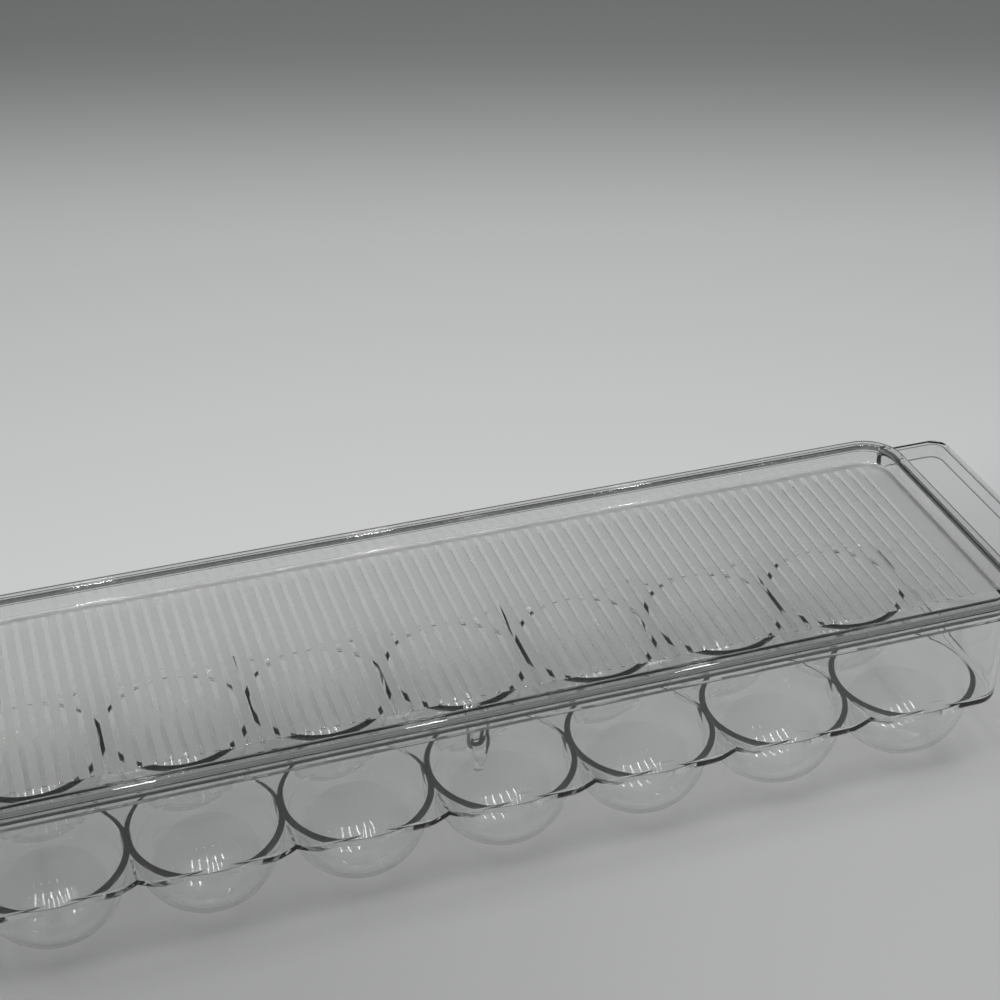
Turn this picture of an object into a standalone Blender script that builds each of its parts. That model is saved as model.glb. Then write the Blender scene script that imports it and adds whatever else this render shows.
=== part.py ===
"""Clear refrigerator egg keeper: a tray with two rows of round egg cups and a grip at one end,
and a loose ribbed lid that drops into the tray's rim. Metres, +Z up. The origin is on the surface
that the keeper stands on, under the middle of its whole length and width."""

import math

import bmesh
import bpy

# The eggs' places
cups_along = 7
cups_across = 2
cup_overlap = 0.0019
row_gap = 0.0001
bridge_half_width = 0.00175

# One cup: a half ball with a small flat foot, below a short collar that opens towards the deck
cup_radius = 0.0220
cup_wall = 0.0014
cup_foot_radius = 0.0050
cup_collar_height = 0.00724
cup_collar_flare = 0.0015
cup_root_fillet = 0.0003
cup_mouth_flare = 0.0006
cup_mouth_roll = 0.0003

# The tray's shell
deck_thickness = 0.0016
rim_above_deck = 0.0413
tray_wall = 0.0016
tray_wall_draft = 0.0006
tray_edge_fillet = 0.0018
tray_floor_fillet = 0.0022
tray_corner = 0.0100
end_land = 0.0012
side_trim = 0.0006
ledge_step = 0.0021
ledge_rise = 0.0012
rim_band_height = 0.0058
rim_lip_width = 0.0007
rim_lip_height = 0.0014
rim_lip_round = 0.0004

# The arches in the tray's long sides, one between each cup and the next
arch_height = 0.0042
arch_sink = 0.0005
arch_half_width = 0.0160

# The moulding's gate: a small tapered post under the middle of the deck
gate_radius = 0.0042
gate_tip_radius = 0.0018
gate_tip_height = 0.0050
gate_taper_height = 0.0090

# The grip at the tray's end, a plate with a turned-down edge
grip_reach = 0.0213
grip_side_inset = 0.00085
grip_corner = 0.0060
grip_depth = 0.0076
grip_wall = 0.0016
grip_edge_round = 0.0010
grip_draft = 0.0005
grip_root = 0.0200

# The lid: a shallow pan hung from a flat rim
lid_overhang = 0.0003
lid_rim_thickness = 0.0021
lid_rim_width = 0.0039
lid_edge_round = 0.0007
lid_pan_depth = 0.0063
lid_pan_draft = 0.0011
lid_wall = 0.0012
lid_floor_thickness = 0.0014
lid_pan_fillet = 0.0010
lid_inner_round = 0.0005

# The lid's ribs
rib_pitch = 0.0046
rib_half_width = 0.0009
rib_height = 0.0003
rib_side_slope = 0.0004
rib_side_margin = 0.0146
rib_end_margin = 0.0140

# Fits and cuts
seat_clearance = 0.0003
cut_overrun = 0.0020

# How finely round shapes are drawn
cup_steps = 22
ball_steps = 4
fillet_steps = 2
edge_steps = 1
corner_steps = 5
arch_steps = 4
gate_steps = 12
rib_end_steps = 1
sharp_angle = 30.0
merge_distance = 0.00001

# Sizes worked out from the ones above
cup_outer_radius = cup_radius + cup_wall
ball_height = math.sqrt(cup_outer_radius ** 2 - cup_foot_radius ** 2)
cup_root_radius = cup_outer_radius + cup_collar_flare + cup_root_fillet
cup_mouth_radius = cup_radius + cup_mouth_flare + cup_mouth_roll
cup_pitch = 2 * cup_root_radius - cup_overlap
row_pitch = 2 * cup_root_radius + row_gap
deck_height = ball_height + cup_collar_height
deck_underside = deck_height - deck_thickness
inside_deck = (deck_underside + deck_height) / 2
wall_half_x = (cups_along - 1) / 2 * cup_pitch + cup_root_radius + end_land
wall_half_y = (cups_across - 1) / 2 * row_pitch + cup_root_radius - side_trim
rim_band_offset = tray_wall_draft + ledge_step
rim_inside_offset = rim_band_offset - tray_wall
rim_lip_offset = rim_band_offset + rim_lip_width
lid_offset = rim_lip_offset + lid_overhang
lid_half_x = wall_half_x + lid_offset
lid_half_y = wall_half_y + lid_offset
rim_height = deck_height + rim_above_deck
ledge_height = rim_height - rim_band_height
lid_underside = rim_height + seat_clearance
lid_top = lid_underside + lid_rim_thickness
pan_floor = lid_top - lid_pan_depth
pan_underside = pan_floor - lid_floor_thickness
grip_end_x = lid_half_x + grip_reach
grip_half_width = wall_half_y - grip_side_inset
body_x = (lid_half_x - grip_end_x) / 2


def new_collection(name):
    collection = bpy.data.collections.new(name)
    bpy.context.scene.collection.children.link(collection)
    return collection


def child_collection(name, parent):
    collection = bpy.data.collections.new(name)
    parent.children.link(collection)
    return collection


def clear_plastic(name, colour):
    material = bpy.data.materials.new(name)
    material.use_nodes = True
    shader = material.node_tree.nodes["Principled BSDF"]
    shader.inputs["Base Color"].default_value = colour
    shader.inputs["Roughness"].default_value = 0.08
    shader.inputs["Metallic"].default_value = 0.0
    shader.inputs["Alpha"].default_value = 0.35
    material.diffuse_color = colour
    return material


def add_object(name, bm, collection):
    mesh = bpy.data.meshes.new(name)
    bmesh.ops.recalc_face_normals(bm, faces=bm.faces)
    bm.to_mesh(mesh)
    bm.free()
    thing = bpy.data.objects.new(name, mesh)
    collection.objects.link(thing)
    return thing


def hide_guide(thing):
    thing.hide_render = True
    thing.display_type = "WIRE"


def arc(centre, radius, start, end, steps):
    """Points of an arc in a profile's plane, from one angle in degrees to another."""
    points = []
    for step in range(steps + 1):
        angle = math.radians(start + (end - start) * step / steps)
        points.append((centre[0] + radius * math.cos(angle), centre[1] + radius * math.sin(angle)))
    return points


def rounded_outline(half_x, half_y, corner, steps, middle=0.0):
    """A rectangle with round corners, drawn anticlockwise."""
    outline = []
    corners = ((1, 1, 0), (-1, 1, 90), (-1, -1, 180), (1, -1, 270))
    for side_x, side_y, start in corners:
        centre = (middle + side_x * (half_x - corner), side_y * (half_y - corner))
        outline += arc(centre, corner, start, start + 90, steps)
    return outline


def lofted(name, sections, collection):
    """A closed solid through outlines with the same number of points, each at its own height."""
    bm = bmesh.new()
    loops = []
    for outline, height in sections:
        loops.append([bm.verts.new((x, y, height)) for x, y in outline])
    count = len(loops[0])
    for low, high in zip(loops, loops[1:]):
        for index in range(count):
            following = (index + 1) % count
            bm.faces.new((low[index], low[following], high[following], high[index]))
    bm.faces.new(loops[0][::-1])
    bm.faces.new(loops[-1])
    return add_object(name, bm, collection)


def tub(name, half_x, half_y, corner, profile, steps, collection, middle=0.0):
    """A round-cornered box whose sides follow a profile of (offset outwards, height) points."""
    sections = []
    for offset, height in profile:
        outline = rounded_outline(half_x + offset, half_y + offset, corner + offset, steps, middle)
        sections.append((outline, height))
    return lofted(name, sections, collection)


def turned(name, profile, steps, collection):
    """A profile of (radius, height) points, top to bottom down its outer side, turned about Z."""
    mesh = bpy.data.meshes.new(name)
    points = [(radius, 0.0, height) for radius, height in profile]
    edges = [(index, index + 1) for index in range(len(points) - 1)]
    mesh.from_pydata(points, edges, [])
    thing = bpy.data.objects.new(name, mesh)
    collection.objects.link(thing)
    screw = thing.modifiers.new("turn", "SCREW")
    screw.axis = "Z"
    screw.steps = steps
    screw.render_steps = steps
    screw.use_merge_vertices = True
    screw.merge_threshold = merge_distance
    return thing


def combine(thing, operation, other):
    """Unite with, or cut by, an object or every object of a collection."""
    modifier = thing.modifiers.new(operation.lower(), "BOOLEAN")
    modifier.operation = operation
    modifier.solver = "EXACT"
    if isinstance(other, bpy.types.Collection):
        modifier.operand_type = "COLLECTION"
        modifier.collection = other
    else:
        modifier.object = other


def cup_places():
    places = []
    for column in range(cups_along):
        for row in range(cups_across):
            x = body_x + (column - (cups_along - 1) / 2) * cup_pitch
            y = (row - (cups_across - 1) / 2) * row_pitch
            places.append((x, y))
    return places


def cup_outside_profile():
    """The cup's outer skin, which ends level with the top of the walls' lower round."""
    top = deck_underside + tray_edge_fillet
    root = (cup_root_radius, deck_underside - cup_root_fillet)
    foot_angle = math.degrees(math.asin(ball_height / cup_outer_radius))
    profile = [(0.0, top), (cup_root_radius, top)]
    profile += arc(root, cup_root_fillet, 90, 180, edge_steps)
    profile += arc((0.0, ball_height), cup_outer_radius, 0, -foot_angle, ball_steps)
    profile += [(0.0, 0.0)]
    return profile


def cup_inside_profile():
    """The space for the egg, which runs up through the deck at the mouth's full width."""
    roll = (cup_mouth_radius, deck_height - cup_mouth_roll)
    floor_angle = math.degrees(math.asin((ball_height - cup_wall) / cup_radius))
    cut_top = deck_height + tray_floor_fillet + cut_overrun
    profile = [(0.0, cut_top), (cup_mouth_radius, cut_top)]
    profile += arc(roll, cup_mouth_roll, 90, 180, edge_steps)
    profile += arc((0.0, ball_height), cup_radius, 0, -floor_angle, ball_steps)
    profile += [(0.0, cup_wall)]
    return profile


def make_cups(name, profile, collection):
    """One turned shape, shared by every cup's place. Returns the first."""
    first = None
    for number, (x, y) in enumerate(cup_places()):
        if first is None:
            thing = turned(name, profile, cup_steps, collection)
            first = thing
        else:
            thing = first.copy()
            collection.objects.link(thing)
        thing.name = f"{name}_{number + 1}"
        thing.location = (x, y, 0.0)
        hide_guide(thing)
    return first


def cups_within(name, profile, inset, guides):
    """The shape of all the cups together, cut off at the tray's walls."""
    cups = child_collection(name + "s", guides)
    first = make_cups(name, profile, cups)
    cups.objects.unlink(first)
    guides.objects.link(first)
    combine(first, "UNION", cups)
    limits = [(-inset, -cut_overrun), (-inset, rim_height)]
    shape = tub(name + "_limit", wall_half_x, wall_half_y, tray_corner, limits, corner_steps, guides, body_x)
    hide_guide(shape)
    combine(shape, "INTERSECT", first)
    return shape


def middle_between(number):
    """The place along the tray half way between one cup and the next."""
    return body_x + (number + 1 - (cups_along - 1) / 2 - 1 / 2) * cup_pitch


def make_bridges(collection):
    """Slabs that keep a straight strip of deck standing between each cup and the next."""
    for number in range(cups_along - 1):
        x = middle_between(number)
        right, left = x + bridge_half_width, x - bridge_half_width
        outline = [(right, wall_half_y), (left, wall_half_y), (left, -wall_half_y), (right, -wall_half_y)]
        bridge = lofted(f"bridge_{number + 1}", [(outline, 0.0), (outline, rim_height)], collection)
        hide_guide(bridge)


def egg_space(guides):
    """The space for the eggs inside the cups."""
    bridges = child_collection("bridges", guides)
    make_bridges(bridges)
    space = cups_within("cup_inside", cup_inside_profile(), tray_wall, guides)
    combine(space, "DIFFERENCE", bridges)
    return space


def arch_outline():
    """Half of an arch from its peak to its foot: two rounded cells that meet in a cusp."""
    points = []
    for step in range(arch_steps + 1):
        reach = step / arch_steps
        height = (arch_height + arch_sink) * (1 - reach) ** 2 - arch_sink
        points.append((reach * arch_half_width, height))
    return points


def make_arch(name, x, side, base, collection):
    """A cusped vault that widens from its tip beside the cups to the tray's long side."""
    bm = bmesh.new()
    half = arch_outline()
    section = [(-across, up) for across, up in reversed(half)] + half[1:]
    mouth_y = wall_half_y + rim_lip_offset
    tip_y = row_pitch / 2 + math.sqrt(cup_root_radius ** 2 - (cup_pitch / 2) ** 2)
    spread = (mouth_y - tip_y) / (wall_half_y - tip_y)
    floor = -arch_sink - cut_overrun
    foot = base - arch_sink
    ring = []
    for across, up in section:
        ring.append(bm.verts.new((x + across * spread, side * mouth_y, foot + (up + arch_sink) * spread)))
    ring += [bm.verts.new((x + across * spread, side * mouth_y, base + floor))
             for across in (arch_half_width, -arch_half_width)]
    tip_top = bm.verts.new((x, side * tip_y, base - arch_sink))
    tip_floor = bm.verts.new((x, side * tip_y, base + floor))
    count = len(section)
    for index in range(count - 1):
        bm.faces.new((ring[index], ring[index + 1], tip_top))
    bm.faces.new((ring[count - 1], ring[count], tip_floor, tip_top))
    bm.faces.new((ring[count], ring[count + 1], tip_floor))
    bm.faces.new((ring[count + 1], ring[0], tip_top, tip_floor))
    bm.faces.new(ring)
    thing = add_object(name, bm, collection)
    hide_guide(thing)


def make_arches(name, base, collection):
    for number in range(cups_along - 1):
        for side in (-1, 1):
            place = "front" if side < 0 else "back"
            make_arch(f"{name}_{place}_{number + 1}", middle_between(number), side, base, collection)


def tray_outside(collection):
    fillet = tray_edge_fillet
    lip_low = rim_height - rim_lip_height
    profile = [(x - fillet, z) for x, z in arc((0.0, deck_underside + fillet), fillet, -90, 0, fillet_steps)]
    profile += [(tray_wall_draft, ledge_height - tray_wall)]
    profile += [(rim_band_offset, ledge_height + ledge_rise - tray_wall)]
    profile += [(rim_band_offset, lip_low), (rim_lip_offset, lip_low)]
    profile += [(rim_lip_offset, rim_height - rim_lip_round)]
    profile += [(rim_lip_offset - rim_lip_round, rim_height)]
    return tub("tray", wall_half_x, wall_half_y, tray_corner, profile, corner_steps, collection, body_x)


def tray_space(collection):
    """Everything inside the tray's walls above its deck."""
    fillet = tray_floor_fillet
    root = (-tray_wall - fillet, deck_height + fillet)
    profile = arc(root, fillet, -90, 0, fillet_steps)
    profile += [(tray_wall_draft - tray_wall, ledge_height - ledge_rise)]
    profile += [(rim_inside_offset, ledge_height), (rim_inside_offset, rim_height + cut_overrun)]
    corner = tray_corner
    space = tub("tray_space", wall_half_x, wall_half_y, corner, profile, corner_steps, collection, body_x)
    hide_guide(space)
    return space


def grip_block(name, inset, low, high, collection):
    """The grip's outline as a block that starts inside the tray's end."""
    start_x = body_x + wall_half_x - grip_root
    end_x = body_x + grip_end_x - inset
    half_x = (end_x - start_x) / 2
    middle = (end_x + start_x) / 2
    fillet = grip_edge_round
    profile = [(-grip_draft, low)]
    profile += [(x - fillet, z) for x, z in arc((0.0, high - fillet), fillet, 0, 90, fillet_steps)]
    corner = grip_corner - inset
    return tub(name, half_x, grip_half_width - inset, corner, profile, corner_steps, collection, middle)


def grip_solid(collection):
    """A plate level with the tray's rim, whose outer edges turn down for the fingers."""
    low = rim_height - grip_depth
    grip = grip_block("grip", 0.0, low, rim_height, collection)
    space = grip_block("grip_space", grip_wall, low - cut_overrun, rim_height - grip_wall, collection)
    hide_guide(grip)
    hide_guide(space)
    combine(grip, "DIFFERENCE", space)
    return grip


def gate_post(collection):
    """The stub where the plastic ran into the mould, under the middle of the deck."""
    shoulder = gate_tip_height + gate_taper_height
    profile = [(0.0, inside_deck), (gate_radius, inside_deck), (gate_radius, shoulder)]
    profile += [(gate_tip_radius, gate_tip_height), (0.0, gate_tip_height)]
    post = turned("gate_post", profile, gate_steps, collection)
    post.location = (body_x, 0.0, 0.0)
    hide_guide(post)
    return post


def make_tray(parts, guides):
    arches = child_collection("arches", guides)
    vaults = child_collection("vaults", guides)
    make_arches("arch", deck_underside, arches)
    make_arches("vault", deck_height, vaults)
    space = tray_space(guides)
    combine(space, "DIFFERENCE", vaults)
    combine(space, "UNION", egg_space(guides))
    tray = tray_outside(parts)
    combine(tray, "DIFFERENCE", arches)
    combine(tray, "UNION", gate_post(guides))
    combine(tray, "UNION", cups_within("cup_outside", cup_outside_profile(), 0.0, guides))
    combine(tray, "UNION", grip_solid(guides))
    combine(tray, "DIFFERENCE", space)
    return tray


def lid_outside(collection):
    """The pan that drops inside the tray's rim, and the flat rim that rests on it."""
    pan_top = rim_inside_offset - lid_offset - seat_clearance
    pan_low = lid_wall - lid_rim_width - lid_pan_draft
    fillet = lid_pan_fillet
    edge = lid_edge_round
    profile = arc((pan_low - fillet, pan_underside + fillet), fillet, -90, 0, fillet_steps)
    profile += [(pan_top, lid_underside)]
    profile += arc((-edge, lid_underside + edge), edge, -90, 0, fillet_steps)
    profile += arc((-edge, lid_top - edge), edge, 0, 90, fillet_steps)
    corner = tray_corner + lid_offset
    return tub("lid", lid_half_x, lid_half_y, corner, profile, corner_steps, collection, body_x)


def lid_space(collection):
    """The open pan above the lid's ribbed floor."""
    low = -lid_rim_width - lid_pan_draft
    fillet = lid_pan_fillet
    edge = lid_inner_round
    profile = arc((low - fillet, pan_floor + fillet), fillet, -90, 0, fillet_steps)
    profile += arc((edge - lid_rim_width, lid_top - edge), edge, 180, 90, fillet_steps)
    profile += [(edge - lid_rim_width, lid_top + cut_overrun)]
    corner = tray_corner + lid_offset
    space = tub("lid_space", lid_half_x, lid_half_y, corner, profile, corner_steps, collection, body_x)
    hide_guide(space)
    return space


def make_ribs(collection):
    """Low flat-topped ribs across the lid's floor, an even step apart."""
    count = int(2 * (lid_half_x - rib_end_margin) / rib_pitch) + 1
    profile = [(0.0, pan_floor - lid_floor_thickness / 2), (-rib_side_slope, pan_floor + rib_height)]
    half_y = lid_half_y - rib_side_margin
    first = tub("rib", rib_half_width, half_y, rib_half_width, profile, rib_end_steps, collection)
    for number in range(count):
        rib = first
        if number > 0:
            rib = first.copy()
            collection.objects.link(rib)
        rib.name = f"rib_{number + 1}"
        rib.location = (body_x + (number - (count - 1) / 2) * rib_pitch, 0.0, 0.0)
        hide_guide(rib)


def make_lid(parts, guides):
    ribs = child_collection("ribs", guides)
    make_ribs(ribs)
    lid = lid_outside(parts)
    combine(lid, "DIFFERENCE", lid_space(guides))
    combine(lid, "UNION", ribs)
    return lid


def finish(thing, material):
    """Keep the finished mesh, with smooth curves and crisp edges."""
    evaluated = thing.evaluated_get(bpy.context.evaluated_depsgraph_get())
    mesh = bpy.data.meshes.new_from_object(evaluated)
    mesh.name = thing.name
    thing.modifiers.clear()
    thing.data = mesh
    mesh.shade_smooth()
    mesh.set_sharp_from_angle(angle=math.radians(sharp_angle))
    mesh.materials.clear()
    mesh.materials.append(material)


def main():
    for old in list(bpy.data.objects):
        bpy.data.objects.remove(old, do_unlink=True)
    parts = new_collection("egg_keeper")
    guides = new_collection("guides")
    tray = make_tray(parts, guides)
    lid = make_lid(parts, guides)
    finish(tray, clear_plastic("clear_tray_plastic", (0.86, 0.87, 0.88, 1.0)))
    finish(lid, clear_plastic("clear_lid_plastic", (0.84, 0.85, 0.86, 1.0)))


main()
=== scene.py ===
# %% [markdown]
# # A clear egg keeper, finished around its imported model
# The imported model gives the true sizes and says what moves: a tray, and a lid that lifts off it.
# Clear plastic shows every flat facet as a bright or dark line, so this lesson draws both mouldings
# again with fine curves, at the same overall sizes, and gives them a material that bends light as the
# real plastic does.

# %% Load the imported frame
import math

import bmesh
import bpy
from mathutils import Matrix, Vector


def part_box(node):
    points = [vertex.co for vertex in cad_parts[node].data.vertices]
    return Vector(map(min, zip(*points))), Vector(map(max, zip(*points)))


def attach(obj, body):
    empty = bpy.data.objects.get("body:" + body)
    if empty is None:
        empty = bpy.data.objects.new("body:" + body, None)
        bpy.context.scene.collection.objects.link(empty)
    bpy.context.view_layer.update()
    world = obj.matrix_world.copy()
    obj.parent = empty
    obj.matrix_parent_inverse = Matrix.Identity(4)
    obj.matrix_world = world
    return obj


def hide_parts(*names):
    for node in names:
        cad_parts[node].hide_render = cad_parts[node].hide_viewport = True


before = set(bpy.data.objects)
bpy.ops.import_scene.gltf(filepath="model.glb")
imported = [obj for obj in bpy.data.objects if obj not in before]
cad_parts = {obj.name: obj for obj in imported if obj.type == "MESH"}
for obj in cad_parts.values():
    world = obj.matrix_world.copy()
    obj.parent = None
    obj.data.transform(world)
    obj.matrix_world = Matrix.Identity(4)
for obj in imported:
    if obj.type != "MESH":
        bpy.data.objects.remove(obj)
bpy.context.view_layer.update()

lid_low, lid_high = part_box("lid")
tray_low, tray_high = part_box("tray")
body_x = (lid_low.x + lid_high.x) / 2

# %% [markdown]
# ## The camera
# The photograph was measured first: straight edges and round cups gave the camera's place, its turn
# and its lens. The camera looks down at the keeper from the front left, and the keeper's left end
# runs out of the picture. A camera could also be aimed at the keeper with a constraint, but measured
# turns match a photograph better, so they go straight into its matrix.

# %% Camera
camera_from_lid = Vector((-0.1550, -0.4724, 0.3596))
camera_turn = -0.3192
camera_tilt = 0.9963
camera_pan = 0.0052
camera_lens = 67.93

camera_data = bpy.data.cameras.new("camera")
camera_data.lens = camera_lens
camera_data.sensor_width = 36.0
camera_data.clip_start = 0.01
camera = bpy.data.objects.new("camera", camera_data)
bpy.context.scene.collection.objects.link(camera)
turn = Matrix.Rotation(camera_turn, 4, "Z") @ Matrix.Rotation(camera_tilt, 4, "X")
turn = turn @ Matrix.Rotation(camera_pan, 4, "Y")
place = camera_from_lid + Vector((0.0, 0.0, lid_high.z))
camera.matrix_world = Matrix.Translation(place) @ turn
bpy.context.scene.camera = camera
print("camera at", tuple(round(value, 3) for value in place))

# %% [markdown]
# ## Sizes
# The lid's and the tray's boxes come from the frame. Nearly all other sizes are those that the solids
# were drawn with, so that the fine meshes lie where the model has its surfaces. A few follow the
# photograph more closely, each by less than three millimetres: the cups' mouths, the wall beside the
# cups and at the rim, the round at the pan's foot, and the ribs with their ends.

# %% Sizes of the mouldings
cups_along = 7
cups_across = 2
cup_overlap = 0.0019
row_gap = 0.0001
cup_radius = 0.0220
cup_wall = 0.0014
cup_side_wall = 0.0012
cup_foot_radius = 0.0050
cup_collar_height = 0.00724
cup_collar_flare = 0.0015
cup_root_fillet = 0.0003
cup_mouth_flare = 0.0010
cup_mouth_roll = 0.0003
deck_thickness = 0.0016
tray_wall = 0.0016
tray_wall_draft = 0.0006
tray_edge_fillet = 0.0018
tray_floor_fillet = 0.0022
tray_corner = 0.0100
rim_wall = 0.0010
ledge_step = 0.0021
ledge_rise = 0.0012
rim_band_height = 0.0058
rim_lip_width = 0.0007
rim_lip_height = 0.0014
rim_lip_round = 0.0004
arch_height = 0.0042
arch_sink = 0.0005
arch_half_width = 0.0160
gate_radius = 0.0042
gate_tip_radius = 0.0018
gate_tip_height = 0.0050
gate_taper_height = 0.0090
grip_side_inset = 0.00085
grip_corner = 0.0060
grip_depth = 0.0076
grip_wall = 0.0016
grip_edge_round = 0.0010
grip_draft = 0.0005
grip_root = 0.0200
lid_overhang = 0.0003
lid_rim_thickness = 0.0021
lid_rim_width = 0.0039
lid_edge_round = 0.0007
lid_pan_depth = 0.0063
lid_pan_draft = 0.0011
lid_wall = 0.0012
lid_floor_thickness = 0.0014
lid_pan_fillet = 0.0003
lid_inner_round = 0.0005
rib_pitch = 0.0046
rib_half_width = 0.0009
rib_height = 0.00012
rib_side_slope = 0.00025
rib_front_margin = 0.0150
rib_rear_margin = 0.0120
rib_end_margin = 0.0140
polished_run = 0.0036
seat_clearance = 0.0003
cut_overrun = 0.0020

cup_outer_radius = cup_radius + cup_wall
ball_height = math.sqrt(cup_outer_radius ** 2 - cup_foot_radius ** 2)
cup_mouth_radius = cup_radius + cup_mouth_flare + cup_mouth_roll
cup_root_radius = cup_outer_radius + cup_collar_flare + cup_root_fillet
cup_pitch = 2 * cup_root_radius - cup_overlap
row_pitch = 2 * cup_root_radius + row_gap
deck_height = ball_height + cup_collar_height
deck_underside = deck_height - deck_thickness
inside_deck = (deck_underside + deck_height) / 2
rim_band_offset = tray_wall_draft + ledge_step
rim_inside_offset = rim_band_offset - rim_wall
rim_lip_offset = rim_band_offset + rim_lip_width
lid_offset = rim_lip_offset + lid_overhang
lid_half_x = (lid_high.x - lid_low.x) / 2
lid_half_y = (lid_high.y - lid_low.y) / 2
wall_half_x = lid_half_x - lid_offset
wall_half_y = lid_half_y - lid_offset
lid_top = lid_high.z
lid_underside = lid_top - lid_rim_thickness
rim_height = lid_underside - seat_clearance
ledge_height = rim_height - rim_band_height
pan_floor = lid_top - lid_pan_depth
pan_underside = pan_floor - lid_floor_thickness
grip_end_x = tray_high.x
grip_half_width = wall_half_y - grip_side_inset
print("walls at", round(wall_half_x, 4), round(wall_half_y, 4), "rim at", round(rim_height, 4))

# %% [markdown]
# ## Drawing helpers
# An injection moulding is mostly two things: outlines with round corners that rise along a drafted
# profile, and shapes turned about an axis. Both could be drawn by hand and finished with modifiers.
# Here helpers draw them from profiles in small steps, because the inside and the outside of a wall can
# then share their numbers. Another helper cuts or joins the shapes with a Boolean modifier.

# %% Helpers for outlines, tubs and turned shapes
corner_steps = 14
fillet_steps = 6
cup_steps = 96
ball_steps = 22
weld_distance = 0.000001


def arc(centre, radius, start, end, steps):
    points = []
    for step in range(steps + 1):
        angle = math.radians(start + (end - start) * step / steps)
        points.append((centre[0] + radius * math.cos(angle), centre[1] + radius * math.sin(angle)))
    return points


def new_piece(name, bm):
    mesh = bpy.data.meshes.new(name)
    bmesh.ops.remove_doubles(bm, verts=bm.verts, dist=weld_distance)
    bmesh.ops.recalc_face_normals(bm, faces=bm.faces)
    bm.to_mesh(mesh)
    bm.free()
    piece = bpy.data.objects.new(name, mesh)
    bpy.context.scene.collection.objects.link(piece)
    return piece


def loft(name, loops):
    """A closed solid through loops of points, capped at both ends."""
    bm = bmesh.new()
    rings = [[bm.verts.new(point) for point in loop] for loop in loops]
    count = len(rings[0])
    for low, high in zip(rings, rings[1:]):
        for index in range(count):
            following = (index + 1) % count
            bm.faces.new((low[index], low[following], high[following], high[index]))
    bm.faces.new(rings[0][::-1])
    bm.faces.new(rings[-1])
    return new_piece(name, bm)


def tub(name, half_x, half_y, corner, profile, middle=body_x):
    """A round-cornered box whose sides follow a profile of (offset outwards, height) points."""
    loops = []
    for offset, height in profile:
        loop = []
        radius = corner + offset
        for side_x, side_y, start in ((1, 1, 0), (-1, 1, 90), (-1, -1, 180), (1, -1, 270)):
            centre = (middle + side_x * (half_x + offset - radius), side_y * (half_y + offset - radius))
            loop += [(x, y, height) for x, y in arc(centre, radius, start, start + 90, corner_steps)]
        loops.append(loop)
    return loft(name, loops)


def turned(name, profile, steps):
    """A profile of (radius, height) points turned about Z. Its ends lie on the axis."""
    bm = bmesh.new()
    rings = []
    for radius, height in profile:
        if radius == 0.0:
            rings.append([bm.verts.new((0.0, 0.0, height))])
        else:
            ring = arc((0.0, 0.0), radius, 0.0, 360.0 * (steps - 1) / steps, steps - 1)
            rings.append([bm.verts.new((x, y, height)) for x, y in ring])
    for low, high in zip(rings, rings[1:]):
        for index in range(steps):
            following = (index + 1) % steps
            if len(low) == 1:
                bm.faces.new((low[0], high[following], high[index]))
            elif len(high) == 1:
                bm.faces.new((low[index], low[following], high[0]))
            else:
                bm.faces.new((low[index], low[following], high[following], high[index]))
    return new_piece(name, bm)


def combined(piece, operation, other):
    """Cut or join two closed shapes, and keep the result as the piece's plain mesh."""
    modifier = piece.modifiers.new("join", "BOOLEAN")
    modifier.operation = operation
    modifier.solver = "MANIFOLD"
    modifier.object = other
    graph = bpy.context.evaluated_depsgraph_get()
    mesh = bpy.data.meshes.new_from_object(piece.evaluated_get(graph))
    piece.modifiers.clear()
    piece.data = mesh
    bpy.data.objects.remove(other)
    return piece


# %% [markdown]
# ## Repeating a shape
# The fourteen cups and the lid's ribs stand on an even grid. Array modifiers could repeat them, but
# Geometry Nodes are good at this: one tree takes any shape and repeats it by count and step in both
# directions. The cups and the ribs share it, each with its own numbers.

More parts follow.
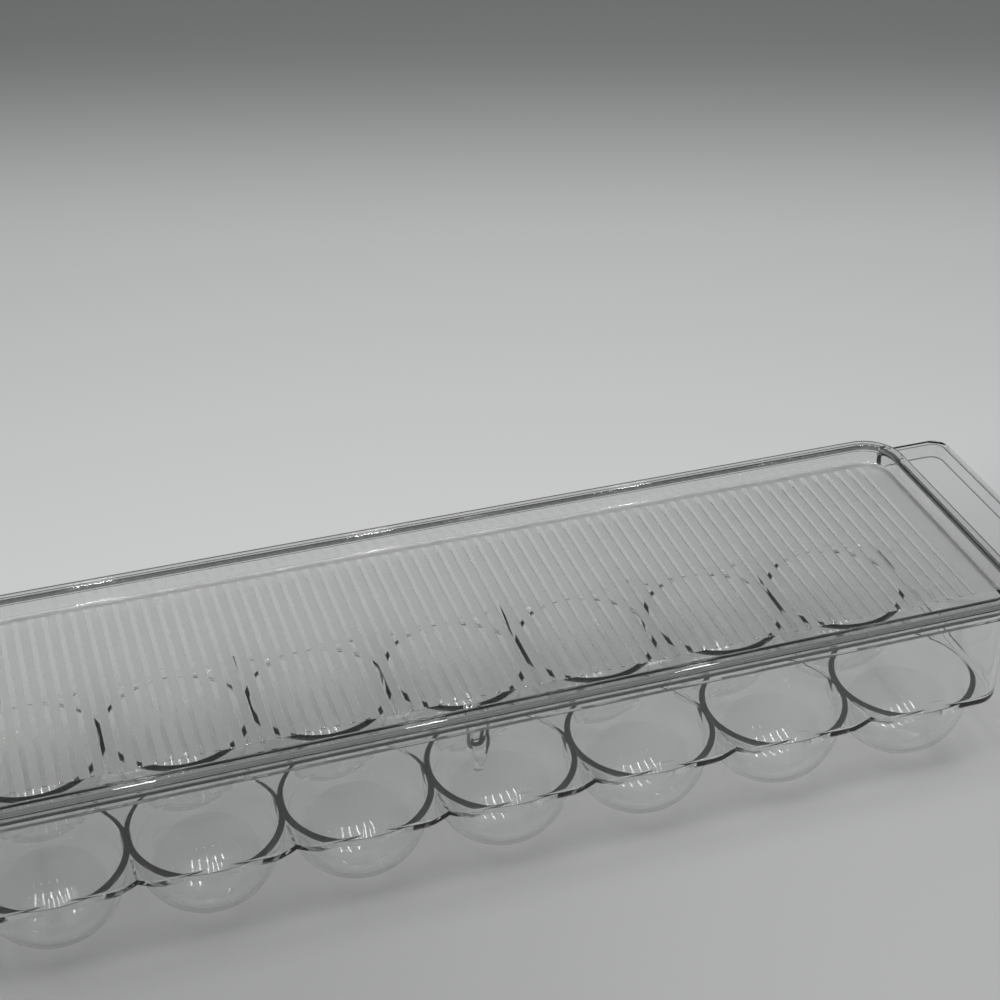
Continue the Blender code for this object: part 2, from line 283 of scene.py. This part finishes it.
# %% A Geometry Nodes tree that repeats a shape on a grid
def make_grid_tree():
    tree = bpy.data.node_groups.new("repeat on a grid", "GeometryNodeTree")
    face = tree.interface
    face.new_socket("Geometry", in_out="INPUT", socket_type="NodeSocketGeometry")
    for name in ("Count Along", "Count Across"):
        face.new_socket(name, in_out="INPUT", socket_type="NodeSocketInt")
    for name in ("Step Along", "Step Across"):
        face.new_socket(name, in_out="INPUT", socket_type="NodeSocketFloat")
    face.new_socket("Middle", in_out="INPUT", socket_type="NodeSocketVector")
    face.new_socket("Material", in_out="INPUT", socket_type="NodeSocketMaterial")
    face.new_socket("Geometry", in_out="OUTPUT", socket_type="NodeSocketGeometry")
    nodes, links = tree.nodes, tree.links
    given = nodes.new("NodeGroupInput")
    result = nodes.new("NodeGroupOutput")

    lines = []
    for direction in ("Along", "Across"):
        line = nodes.new("GeometryNodeMeshLine")
        offset = nodes.new("ShaderNodeCombineXYZ")
        start = nodes.new("ShaderNodeVectorMath")
        start.operation = "SCALE"
        share = nodes.new("ShaderNodeMath")
        share.operation = "MULTIPLY_ADD"
        share.inputs[1].default_value = -0.5
        share.inputs[2].default_value = 0.5
        links.new(given.outputs["Count " + direction], share.inputs[0])
        links.new(given.outputs["Step " + direction], offset.inputs["X" if direction == "Along" else "Y"])
        links.new(offset.outputs[0], start.inputs[0])
        links.new(share.outputs[0], start.inputs["Scale"])
        links.new(given.outputs["Count " + direction], line.inputs["Count"])
        links.new(offset.outputs[0], line.inputs["Offset"])
        links.new(start.outputs[0], line.inputs["Start Location"])
        lines.append(line)

    rows = nodes.new("GeometryNodeInstanceOnPoints")
    rows_real = nodes.new("GeometryNodeRealizeInstances")
    shapes = nodes.new("GeometryNodeInstanceOnPoints")
    move = nodes.new("GeometryNodeTransform")
    real = nodes.new("GeometryNodeRealizeInstances")
    paint = nodes.new("GeometryNodeSetMaterial")
    links.new(lines[1].outputs["Mesh"], rows.inputs["Points"])
    links.new(lines[0].outputs["Mesh"], rows.inputs["Instance"])
    links.new(rows.outputs["Instances"], rows_real.inputs["Geometry"])
    links.new(rows_real.outputs["Geometry"], shapes.inputs["Points"])
    links.new(given.outputs["Geometry"], shapes.inputs["Instance"])
    links.new(shapes.outputs["Instances"], move.inputs["Geometry"])
    links.new(given.outputs["Middle"], move.inputs["Translation"])
    links.new(move.outputs["Geometry"], real.inputs["Geometry"])
    links.new(real.outputs["Geometry"], paint.inputs["Geometry"])
    links.new(given.outputs["Material"], paint.inputs["Material"])
    links.new(paint.outputs["Geometry"], result.inputs["Geometry"])
    return tree


grid_tree = make_grid_tree()
print("grid tree:", len(grid_tree.nodes), "nodes")


def repeated(piece, material, along, across, middle):
    """The piece repeated by the tree. along and across are each (count, step)."""
    values = {
        "Count Along": along[0],
        "Step Along": along[1],
        "Count Across": across[0],
        "Step Across": across[1],
        "Middle": middle,
        "Material": material,
    }
    modifier = piece.modifiers.new("grid", "NODES")
    modifier.node_group = grid_tree
    for item in grid_tree.interface.items_tree:
        if item.in_out == "INPUT" and item.name in values:
            modifier[item.identifier] = values[item.name]
    graph = bpy.context.evaluated_depsgraph_get()
    mesh = bpy.data.meshes.new_from_object(piece.evaluated_get(graph))
    piece.modifiers.clear()
    piece.data = mesh
    print(piece.name, "repeated to", len(mesh.polygons), "faces")
    return piece


# %% [markdown]
# ## The moulded surface
# No moulding is perfectly flat. A picture of wear could be laid over it, but clear plastic needs only
# a hint, which noise can give. One node group gives both pieces the same surface: long low waves from
# the shrinking plastic, and a fine patchy polish with a few rubbed places.

# %% A node group for the moulded surface
wave_detail = 1.0
rubbed_scale = 90.0
rubbed_detail = 6.0
rubbed_band = (0.55, 0.75)


def add_node(tree, kind, **values):
    node = tree.nodes.new(kind)
    for name, value in values.items():
        setattr(node, name, value)
    return node


def calculate(tree, operation, *values):
    node = add_node(tree, "ShaderNodeMath", operation=operation)
    for socket, value in zip(node.inputs, values):
        if isinstance(value, bpy.types.NodeSocket):
            tree.links.new(value, socket)
        else:
            socket.default_value = value
    return node.outputs[0]


def moulded_surface_group():
    tree = bpy.data.node_groups.new("moulded surface", "ShaderNodeTree")
    face = tree.interface
    for name, value in (("Wave Size", 0.02), ("Wave Height", 0.00002), ("Polish", 0.02), ("Wear", 0.05)):
        face.new_socket(name, in_out="INPUT", socket_type="NodeSocketFloat").default_value = value
    face.new_socket("Roughness", in_out="OUTPUT", socket_type="NodeSocketFloat")
    face.new_socket("Normal", in_out="OUTPUT", socket_type="NodeSocketVector")
    links = tree.links
    given = add_node(tree, "NodeGroupInput")
    result = add_node(tree, "NodeGroupOutput")
    where = add_node(tree, "ShaderNodeTexCoord").outputs["Object"]

    waves = add_node(tree, "ShaderNodeTexNoise")
    waves.inputs["Detail"].default_value = wave_detail
    links.new(where, waves.inputs["Vector"])
    links.new(calculate(tree, "DIVIDE", 1.0, given.outputs["Wave Size"]), waves.inputs["Scale"])
    bump = add_node(tree, "ShaderNodeBump")
    links.new(waves.outputs["Fac"], bump.inputs["Height"])
    links.new(given.outputs["Wave Height"], bump.inputs["Distance"])
    links.new(bump.outputs["Normal"], result.inputs["Normal"])

    rubbed = add_node(tree, "ShaderNodeTexNoise")
    rubbed.inputs["Scale"].default_value = rubbed_scale
    rubbed.inputs["Detail"].default_value = rubbed_detail
    links.new(where, rubbed.inputs["Vector"])
    patches = add_node(tree, "ShaderNodeMapRange")
    patches.inputs["From Min"].default_value = rubbed_band[0]
    patches.inputs["From Max"].default_value = rubbed_band[1]
    links.new(rubbed.outputs["Fac"], patches.inputs["Value"])
    wear = calculate(tree, "MULTIPLY", patches.outputs["Result"], given.outputs["Wear"])
    links.new(calculate(tree, "ADD", wear, given.outputs["Polish"]), result.inputs["Roughness"])
    return tree


surface_tree = moulded_surface_group()
print("surface group:", len(surface_tree.nodes), "nodes")


# %% [markdown]
# ## The frosted floor between the ribs
# In the photograph the cups' rings show only through the lid's ribs, and not between them. So the
# ribs are polished, and the floor is frosted between them, beside the last ones and behind them. Only
# a strip along the front stays clear. The polished stripes run on a little past the ribs' rear ends.
# Faces with a second material could do this, but they would need extra edges in the mesh. So a group
# marks the frosted floor by its place in the lid.

# %% A node group that marks the floor between the ribs
def rib_gap_group():
    tree = bpy.data.node_groups.new("floor between ribs", "ShaderNodeTree")
    face = tree.interface
    places = ("Middle", "Pitch", "Rib Half Width", "Half Length", "Front End", "Rear End", "Level", "Depth")
    for name in (*places, "Clear", "Frosted"):
        face.new_socket(name, in_out="INPUT", socket_type="NodeSocketFloat")
    face.new_socket("Roughness", in_out="OUTPUT", socket_type="NodeSocketFloat")
    links = tree.links
    given = add_node(tree, "NodeGroupInput").outputs
    result = add_node(tree, "NodeGroupOutput")
    split = add_node(tree, "ShaderNodeSeparateXYZ")
    links.new(add_node(tree, "ShaderNodeTexCoord").outputs["Object"], split.inputs[0])
    along = calculate(tree, "SUBTRACT", split.outputs["X"], given["Middle"])
    to_rib = calculate(tree, "WRAP", along, calculate(tree, "MULTIPLY", given["Pitch"], 0.5),
                       calculate(tree, "MULTIPLY", given["Pitch"], -0.5))
    between = calculate(tree, "GREATER_THAN", calculate(tree, "ABSOLUTE", to_rib), given["Rib Half Width"])
    beside = calculate(tree, "GREATER_THAN", calculate(tree, "ABSOLUTE", along), given["Half Length"])
    behind = calculate(tree, "GREATER_THAN", split.outputs["Y"], given["Rear End"])
    off_ribs = calculate(tree, "MAXIMUM", between, calculate(tree, "MAXIMUM", beside, behind))
    past_front = calculate(tree, "GREATER_THAN", split.outputs["Y"], given["Front End"])
    level = calculate(tree, "COMPARE", split.outputs["Z"], given["Level"], given["Depth"])
    mark = calculate(tree, "MULTIPLY", off_ribs, calculate(tree, "MULTIPLY", past_front, level))
    blend = add_node(tree, "ShaderNodeMix")
    links.new(mark, blend.inputs["Factor"])
    links.new(given["Clear"], blend.inputs["A"])
    links.new(given["Frosted"], blend.inputs["B"])
    links.new(blend.outputs["Result"], result.inputs["Roughness"])
    return tree


gap_tree = rib_gap_group()
print("floor group:", len(gap_tree.nodes), "nodes")


# %% [markdown]
# ## Clear plastic
# Both mouldings are a clear, slightly grey plastic, glossy and with a strong bend to the light. A
# volume could tint it, but the walls are thin and volumes are slow, so each surface dims the light a
# little instead, which shows where the eye looks along a wall. A lamp would need
# many slow bounces to shine through it, so rays that look for a lamp, and those that the sheet below
# scatters, pass straight on through a plain see-through shader, dimmed more where they graze the
# surface. The lid's frost blurs only the first few looks through it, and deeper ones pass as if it
# were clear, so the lamps keep crisp streaks in the cups.

# %% The clear plastic
plastic_index = 1.57
edge_blend = 0.35
blurred_depth = 3.5
frost_roughness = 0.42
surface_shade = 0.97
edge_shade = 0.78


def clear_plastic(name, colour):
    material = bpy.data.materials.new(name)
    material.use_nodes = True
    nodes, links = material.node_tree.nodes, material.node_tree.links
    shader = nodes["Principled BSDF"]
    shader.inputs["Base Color"].default_value = (*colour, 1.0)
    shader.inputs["IOR"].default_value = plastic_index
    shader.inputs["Metallic"].default_value = 0.0
    shader.inputs["Transmission Weight"].default_value = 1.0
    surface = add_node(material.node_tree, "ShaderNodeGroup", node_tree=surface_tree, name="surface")
    links.new(surface.outputs["Roughness"], shader.inputs["Roughness"])
    links.new(surface.outputs["Normal"], shader.inputs["Normal"])
    path = nodes.new("ShaderNodeLightPath")
    facing = nodes.new("ShaderNodeLayerWeight")
    facing.inputs["Blend"].default_value = edge_blend
    tint = nodes.new("ShaderNodeMix")
    tint.data_type = "RGBA"
    tint.inputs["A"].default_value = (surface_shade, surface_shade, surface_shade, 1.0)
    tint.inputs["B"].default_value = (edge_shade, edge_shade, edge_shade, 1.0)
    clear = nodes.new("ShaderNodeBsdfTransparent")
    mix = nodes.new("ShaderNodeMixShader")
    links.new(facing.outputs["Facing"], tint.inputs["Factor"])
    links.new(tint.outputs["Result"], clear.inputs["Color"])
    straight = calculate(material.node_tree, "MAXIMUM", path.outputs["Is Shadow Ray"],
                         path.outputs["Is Diffuse Ray"])
    links.new(straight, mix.inputs["Fac"])
    links.new(shader.outputs["BSDF"], mix.inputs[1])
    links.new(clear.outputs["BSDF"], mix.inputs[2])
    links.new(mix.outputs["Shader"], nodes["Material Output"].inputs["Surface"])
    return material


def frost_between_ribs(material, roughness):
    """Put the lid's frosted floor between the moulded surface and the shader's roughness."""
    nodes, links = material.node_tree.nodes, material.node_tree.links
    gaps = add_node(material.node_tree, "ShaderNodeGroup", node_tree=gap_tree, name="gaps")
    values = {
        "Middle": body_x,
        "Pitch": rib_pitch,
        "Rib Half Width": rib_half_width,
        "Half Length": lid_half_x - rib_end_margin,
        "Front End": rib_front_margin - lid_half_y,
        "Rear End": lid_half_y - rib_rear_margin + polished_run,
        "Level": pan_floor,
        "Depth": rib_height / 3,
    }
    for name, value in values.items():
        gaps.inputs[name].default_value = value
    depth = nodes["Light Path"].outputs["Ray Depth"]
    first_looks = calculate(material.node_tree, "LESS_THAN", depth, blurred_depth)
    frosted = calculate(material.node_tree, "MULTIPLY", first_looks, roughness)
    links.new(frosted, gaps.inputs["Frosted"])
    links.new(nodes["surface"].outputs["Roughness"], gaps.inputs["Clear"])
    links.new(gaps.outputs["Roughness"], nodes["Principled BSDF"].inputs["Roughness"])


tray_plastic = clear_plastic("clear tray plastic", (0.975, 0.98, 0.98))
lid_plastic = clear_plastic("clear lid plastic", (0.925, 0.93, 0.92))
frost_between_ribs(lid_plastic, frost_roughness)
print("materials:", tray_plastic.name, "and", lid_plastic.name)

# %% [markdown]
# ## The cups
# Each cup is a half ball on a small flat foot. Its collar opens towards the deck and ends in a rolled
# mouth, and a narrow flat land stays between one mouth and the next. A ball cut in half would lack the
# collar and the roll, so the outside and the inside are turned from profiles and repeated on the grid.
# On the outside the roots of two neighbours run together.

# %% Cup shapes
def cups_within(name, profile, inset):
    """All the cups together, cut off at the tray's walls. Every second cup is drawn at once."""
    cups = None
    for shift in (0, 1):
        count = (cups_along + 1 - shift) // 2
        cup = turned(name, profile, cup_steps)
        middle = (body_x, 0.0, 0.0)
        row = repeated(cup, tray_plastic, (count, 2 * cup_pitch), (cups_across, row_pitch), middle)
        cups = row if cups is None else combined(cups, "UNION", row)
    sides = [(-inset, -cut_overrun), (-inset, rim_height)]
    limits = tub("limits", wall_half_x, wall_half_y, tray_corner, sides)
    return combined(cups, "INTERSECT", limits)


def cup_outsides():
    top = deck_underside + tray_edge_fillet
    foot_angle = math.degrees(math.asin(ball_height / cup_outer_radius))
    root = (cup_root_radius, deck_underside - cup_root_fillet)
    profile = [(0.0, top), (cup_root_radius, top)]
    profile += arc(root, cup_root_fillet, 90, 180, fillet_steps)
    profile += arc((0.0, ball_height), cup_outer_radius, 0, -foot_angle, ball_steps)
    profile += [(0.0, 0.0)]
    return cups_within("cup_outsides", profile, 0.0)


def middle_between(number):
    return body_x + (number - (cups_along - 2) / 2) * cup_pitch


def egg_space():
    """The inside of the cups, a little thinner-walled where the tray's long sides cut them."""
    floor_angle = math.degrees(math.asin((ball_height - cup_wall) / cup_radius))
    cut_top = deck_height + tray_floor_fillet + cut_overrun
    roll = (cup_mouth_radius, deck_height - cup_mouth_roll)
    profile = [(0.0, cut_top), (cup_mouth_radius, cut_top)]
    profile += arc(roll, cup_mouth_roll, 90, 180, fillet_steps)
    profile += arc((0.0, ball_height), cup_radius, 0, -floor_angle, ball_steps)
    profile += [(0.0, cup_wall)]
    return cups_within("cup_insides", profile, cup_side_wall)


print("cup mouths", round(2 * cup_mouth_radius, 4), "across, one every", round(cup_pitch, 4))


# %% [markdown]
# ## The arches between the cups
# Under the tray's long sides the deck rises between each cup and the next in a small cusped arch. It
# could be pulled up in the mesh by hand, but a wedge cut from the solid keeps all twelve alike. The
# same wedge is taken from the outside and left standing on the inside, so the wall keeps its
# thickness.

# %% Arches
arch_steps = 14


def arch_section():
    half = []
    for step in range(arch_steps + 1):
        reach = step / arch_steps
        half.append((reach * arch_half_width, (arch_height + arch_sink) * (1 - reach) ** 2 - arch_sink))
    return [(-across, up) for across, up in reversed(half)] + half[1:]


def arch(x, side, base):
    bm = bmesh.new()
    mouth_y = wall_half_y + rim_lip_offset
    tip_y = row_pitch / 2 + math.sqrt(cup_root_radius ** 2 - (cup_pitch / 2) ** 2)
    spread = (mouth_y - tip_y) / (wall_half_y - tip_y)
    floor = base - arch_sink - cut_overrun
    ring = []
    for across, up in arch_section():
        height = base - arch_sink + (up + arch_sink) * spread
        ring.append(bm.verts.new((x + across * spread, side * mouth_y, height)))
    for across in (arch_half_width, -arch_half_width):
        ring.append(bm.verts.new((x + across * spread, side * mouth_y, floor)))
    tip_top = bm.verts.new((x, side * tip_y, base - arch_sink))
    tip_floor = bm.verts.new((x, side * tip_y, floor))
    last = len(ring) - 3
    for index in range(last):
        bm.faces.new((ring[index], ring[index + 1], tip_top))
    bm.faces.new((ring[last], ring[last + 1], tip_floor, tip_top))
    bm.faces.new((ring[last + 1], ring[last + 2], tip_floor))
    bm.faces.new((ring[last + 2], ring[0], tip_top, tip_floor))
    bm.faces.new(ring)
    return new_piece("arch", bm)


def cut_arches(piece, base):
    for number in range(cups_along - 1):
        for side in (-1, 1):
            combined(piece, "DIFFERENCE", arch(middle_between(number), side, base))
    return piece


print("arches:", 2 * (cups_along - 1), "each", arch_height, "high")


# %% [markdown]
# ## The tray
# The shell is a tub with a step outwards at the rim, where the lid's seat begins. A grip with a
# turned-down edge joins its right end, and under the middle of the deck hangs the small post where
# the plastic ran into the mould. A thin sheet could be given a thickness with Solidify, but the walls
# here aren't even. So all outsides are joined first, and then one inside is cut away, as a mould does.

# %% The tray's shell
def tray_outside():
    fillet = tray_edge_fillet
    lip_low = rim_height - rim_lip_height
    profile = [(x - fillet, z) for x, z in arc((0.0, deck_underside + fillet), fillet, -90, 0, fillet_steps)]
    profile += [(tray_wall_draft, ledge_height - tray_wall)]
    profile += [(rim_band_offset, ledge_height + ledge_rise - tray_wall)]
    profile += [(rim_band_offset, lip_low), (rim_lip_offset, lip_low)]
    lip = (rim_lip_offset - rim_lip_round, rim_height - rim_lip_round)
    profile += arc(lip, rim_lip_round, 0, 90, fillet_steps)
    return tub("tray_shell", wall_half_x, wall_half_y, tray_corner, profile)


def tray_space():
    fillet = tray_floor_fillet
    root = (-tray_wall - fillet, deck_height + fillet)
    profile = arc(root, fillet, -90, 0, fillet_steps)
    profile += [(tray_wall_draft - tray_wall, ledge_height - ledge_rise)]
    profile += [(rim_inside_offset, ledge_height), (rim_inside_offset, rim_height + cut_overrun)]
    return tub("tray_space", wall_half_x, wall_half_y, tray_corner, profile)


def grip_block(name, inset, low, high):
    start_x = body_x + wall_half_x - grip_root
    end_x = grip_end_x - inset
    fillet = grip_edge_round
    profile = [(-grip_draft, low)]
    profile += [(x - fillet, z) for x, z in arc((0.0, high - fillet), fillet, 0, 90, fillet_steps)]
    half_x = (end_x - start_x) / 2
    return tub(name, half_x, grip_half_width - inset, grip_corner - inset, profile, (end_x + start_x) / 2)


def gate_post():
    shoulder = gate_tip_height + gate_taper_height
    profile = [(0.0, inside_deck), (gate_radius, inside_deck), (gate_radius, shoulder)]
    profile += [(gate_tip_radius, gate_tip_height), (0.0, gate_tip_height)]
    post = turned("gate_post", profile, cup_steps // 3)
    post.data.transform(Matrix.Translation((body_x, 0.0, 0.0)))
    return post


low = rim_height - grip_depth
grip = grip_block("grip", 0.0, low, rim_height)
combined(grip, "DIFFERENCE", grip_block("grip_space", grip_wall, low - cut_overrun, rim_height - grip_wall))
space = cut_arches(tray_space(), deck_height)
combined(space, "UNION", egg_space())
clear_tray = cut_arches(tray_outside(), deck_underside)
combined(clear_tray, "UNION", gate_post())
combined(clear_tray, "UNION", cup_outsides())
combined(clear_tray, "UNION", grip)
combined(clear_tray, "DIFFERENCE", space)
print("tray faces:", len(clear_tray.data.polygons))

# %% [markdown]
# ## The lid
# The lid is a shallow pan hung from a flat rim. Its floor carries low ribs from front to back, an
# even step apart. Bump could fake them, but a real shape bends what lies behind it. Their sides rise
# in a soft curve, so that they catch the light as thin lines.

# %% The lid's pan and ribs
def lid_outside():
    pan_top = rim_band_offset - tray_wall - lid_offset - seat_clearance
    pan_low = lid_wall - lid_rim_width - lid_pan_draft
    fillet = lid_pan_fillet
    edge = lid_edge_round
    profile = arc((pan_low - fillet, pan_underside + fillet), fillet, -90, 0, fillet_steps)
    profile += [(pan_top, lid_underside)]
    profile += arc((-edge, lid_underside + edge), edge, -90, 0, fillet_steps)
    profile += arc((-edge, lid_top - edge), edge, 0, 90, fillet_steps)
    return tub("lid_shell", lid_half_x, lid_half_y, tray_corner + lid_offset, profile)


def lid_space():
    low = -lid_rim_width - lid_pan_draft
    fillet = lid_pan_fillet
    edge = lid_inner_round
    profile = arc((low - fillet, pan_floor + fillet), fillet, -90, 0, fillet_steps)
    profile += arc((edge - lid_rim_width, lid_top - edge), edge, 180, 90, fillet_steps)
    profile += [(edge - lid_rim_width, lid_top + cut_overrun)]
    return tub("lid_space", lid_half_x, lid_half_y, tray_corner + lid_offset, profile)


rib_steps = 8


def ribs():
    count = int(2 * (lid_half_x - rib_end_margin) / rib_pitch) + 1
    rib_low = pan_floor - lid_floor_thickness / 2
    profile = [(0.0, rib_low), (0.0, pan_floor)]
    for step in range(1, rib_steps + 1):
        rise = (1 - math.cos(math.pi * step / rib_steps)) / 2
        profile.append((-rib_side_slope * step / rib_steps, pan_floor + rib_height * rise))
    half_y = lid_half_y - (rib_front_margin + rib_rear_margin) / 2
    middle_y = (rib_front_margin - rib_rear_margin) / 2
    rib = tub("rib", rib_half_width, half_y, rib_half_width, profile, 0.0)
    return repeated(rib, lid_plastic, (count, rib_pitch), (1, 0.0), (body_x, middle_y, 0.0))


clear_lid = lid_outside()
combined(clear_lid, "DIFFERENCE", lid_space())
combined(clear_lid, "UNION", ribs())
print("lid faces:", len(clear_lid.data.polygons))

# %% [markdown]
# ## Finishing the meshes
# Curves are shaded smooth and real edges stay crisp. More faces would help too, but weighted normals
# cost nothing: large flat faces keep their own direction, so that the light isn't bent across them
# where they meet a small round.

# %% Shade and place the pieces
sharp_angle = 24.0


def finish(piece, material, body, node):
    mesh = piece.data
    mesh.materials.clear()
    mesh.materials.append(material)
    mesh.shade_smooth()
    mesh.set_sharp_from_angle(angle=math.radians(sharp_angle))
    weighted = piece.modifiers.new("weighted", "WEIGHTED_NORMAL")
    weighted.keep_sharp = True
    graph = bpy.context.evaluated_depsgraph_get()
    piece.data = bpy.data.meshes.new_from_object(piece.evaluated_get(graph))
    piece.modifiers.clear()
    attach(piece, body)
    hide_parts(node)


finish(clear_tray, tray_plastic, "tray", "tray")
finish(clear_lid, lid_plastic, "lid", "lid")

# %% [markdown]
# ## Floor and light
# The keeper stands on a plain pale sheet. Shade is painted into the sheet's colour: a painted shadow
# under and in front of the keeper, darker at the left, and painted shade far behind, where the sheet
# darkens again. The bright marks in the cups show the lamp: five thin tubes side by side overhead. The
# room around them is evenly dim and only a little paler overhead, which is what draws the dark lines in
# the clear edges. A picture of a room could light the scene, but plain lamps are easier to understand and to
# change.

# %% Floor
floor_half_width = 1.3
floor_front = -0.9
floor_back = 1.7
sheet_colour = (0.60, 0.605, 0.60, 1.0)
sheet_roughness = 0.9
# Painted shade in the sheet's colour: the band and level of the shade far behind, then the band, slant and
# left-to-right levels of the painted shadow in front of the keeper.
far_shade_band = (0.42, 0.76)
far_shade_level = 0.52
front_shadow_band = (0.0, 0.16)
front_shadow_slant = -0.35
front_shadow_across_band = (-0.13, 0.16)
front_shadow_levels = (0.52, 0.70)

floor_points = [(-floor_half_width, floor_front), (floor_half_width, floor_front),
                (floor_half_width, floor_back), (-floor_half_width, floor_back)]
floor_mesh = bpy.data.meshes.new("floor")
floor_mesh.from_pydata([(x, y, 0.0) for x, y in floor_points], [], [(0, 1, 2, 3)])
floor_mesh.transform(Matrix.Rotation(camera_turn, 4, "Z"))
floor = bpy.data.objects.new("floor", floor_mesh)
bpy.context.scene.collection.objects.link(floor)
paper = bpy.data.materials.new("pale paper")
paper.use_nodes = True
tree = paper.node_tree
paper_shader = tree.nodes["Principled BSDF"]
paper_shader.inputs["Roughness"].default_value = sheet_roughness
turned_place = add_node(tree, "ShaderNodeMapping", vector_type="POINT")
turned_place.inputs["Rotation"].default_value = (0.0, 0.0, -camera_turn)
tree.links.new(add_node(tree, "ShaderNodeTexCoord").outputs["Object"], turned_place.inputs["Vector"])
place_parts = add_node(tree, "ShaderNodeSeparateXYZ")
tree.links.new(turned_place.outputs["Vector"], place_parts.inputs[0])


def fade(tree, value, band, levels):
    """A smooth change from the first level to the second, across a band of the value."""
    node = add_node(tree, "ShaderNodeMapRange", interpolation_type="SMOOTHSTEP")
    for socket, amount in zip(("From Min", "From Max", "To Min", "To Max"), (*band, *levels)):
        node.inputs[socket].default_value = amount
    tree.links.new(value, node.inputs["Value"])
    return node.outputs["Result"]


# Painted shade: the sheet's colour is darkened far behind, and by a soft painted shadow in front of the
# keeper that is darker at the left.
across, away = place_parts.outputs["X"], place_parts.outputs["Y"]
painted_far_shade = fade(tree, away, far_shade_band, (1.0, far_shade_level))
painted_front_shadow = fade(tree, across, front_shadow_across_band, front_shadow_levels)
front_shadow_mix = add_node(tree, "ShaderNodeMix")
front_shadow_mix.inputs["B"].default_value = 1.0
front_shadow_place = calculate(tree, "MULTIPLY_ADD", across, front_shadow_slant, away)
tree.links.new(fade(tree, front_shadow_place, front_shadow_band, (0.0, 1.0)), front_shadow_mix.inputs["Factor"])
tree.links.new(painted_front_shadow, front_shadow_mix.inputs["A"])
level = calculate(tree, "MULTIPLY", painted_far_shade, front_shadow_mix.outputs["Result"])
# The sheet's colour, multiplied by the painted shade and painted shadow.
paper_with_painted_shade = add_node(tree, "ShaderNodeMix", data_type="RGBA")
paper_with_painted_shade.inputs["A"].default_value = (0.0, 0.0, 0.0, 1.0)
paper_with_painted_shade.inputs["B"].default_value = sheet_colour
tree.links.new(level, paper_with_painted_shade.inputs["Factor"])
tree.links.new(paper_with_painted_shade.outputs["Result"], paper_shader.inputs["Base Color"])
floor_mesh.materials.append(paper)
print("sheet:", 2 * floor_half_width, "wide")

# %% Lamps
tube_count = 5
tube_step = 0.25
tube_length = 0.46
tube_width = 0.035
tubes_middle = Vector((-0.08, -0.11, 1.10))
tubes_power = 13.2

for number in range(tube_count):
    tube = bpy.data.lights.new(f"tube {number + 1}", "AREA")
    tube.shape = "RECTANGLE"
    tube.size = tube_width
    tube.size_y = tube_length
    tube.energy = tubes_power / tube_count
    lamp = bpy.data.objects.new(tube.name, tube)
    bpy.context.scene.collection.objects.link(lamp)
    lamp.location = tubes_middle + Vector(((number - (tube_count - 1) / 2) * tube_step, 0.0, 0.0))
print("lamps:", tube_count)

# %% World
room_colour = (0.95, 0.97, 1.0, 1.0)
room_heights = (0.3, 0.7)
room_strengths = (0.12, 0.17)

world = bpy.data.worlds.new("world")
world.use_nodes = True
tree = world.node_tree
parts = add_node(tree, "ShaderNodeSeparateXYZ")
tree.links.new(add_node(tree, "ShaderNodeTexCoord").outputs["Generated"], parts.inputs[0])
background = tree.nodes["Background"].inputs
tree.links.new(fade(tree, parts.outputs["Z"], room_heights, room_strengths), background["Strength"])
background["Color"].default_value = room_colour
bpy.context.scene.world = world
bpy.context.scene.view_settings.view_transform = "Standard"
print("room strengths:", room_strengths)
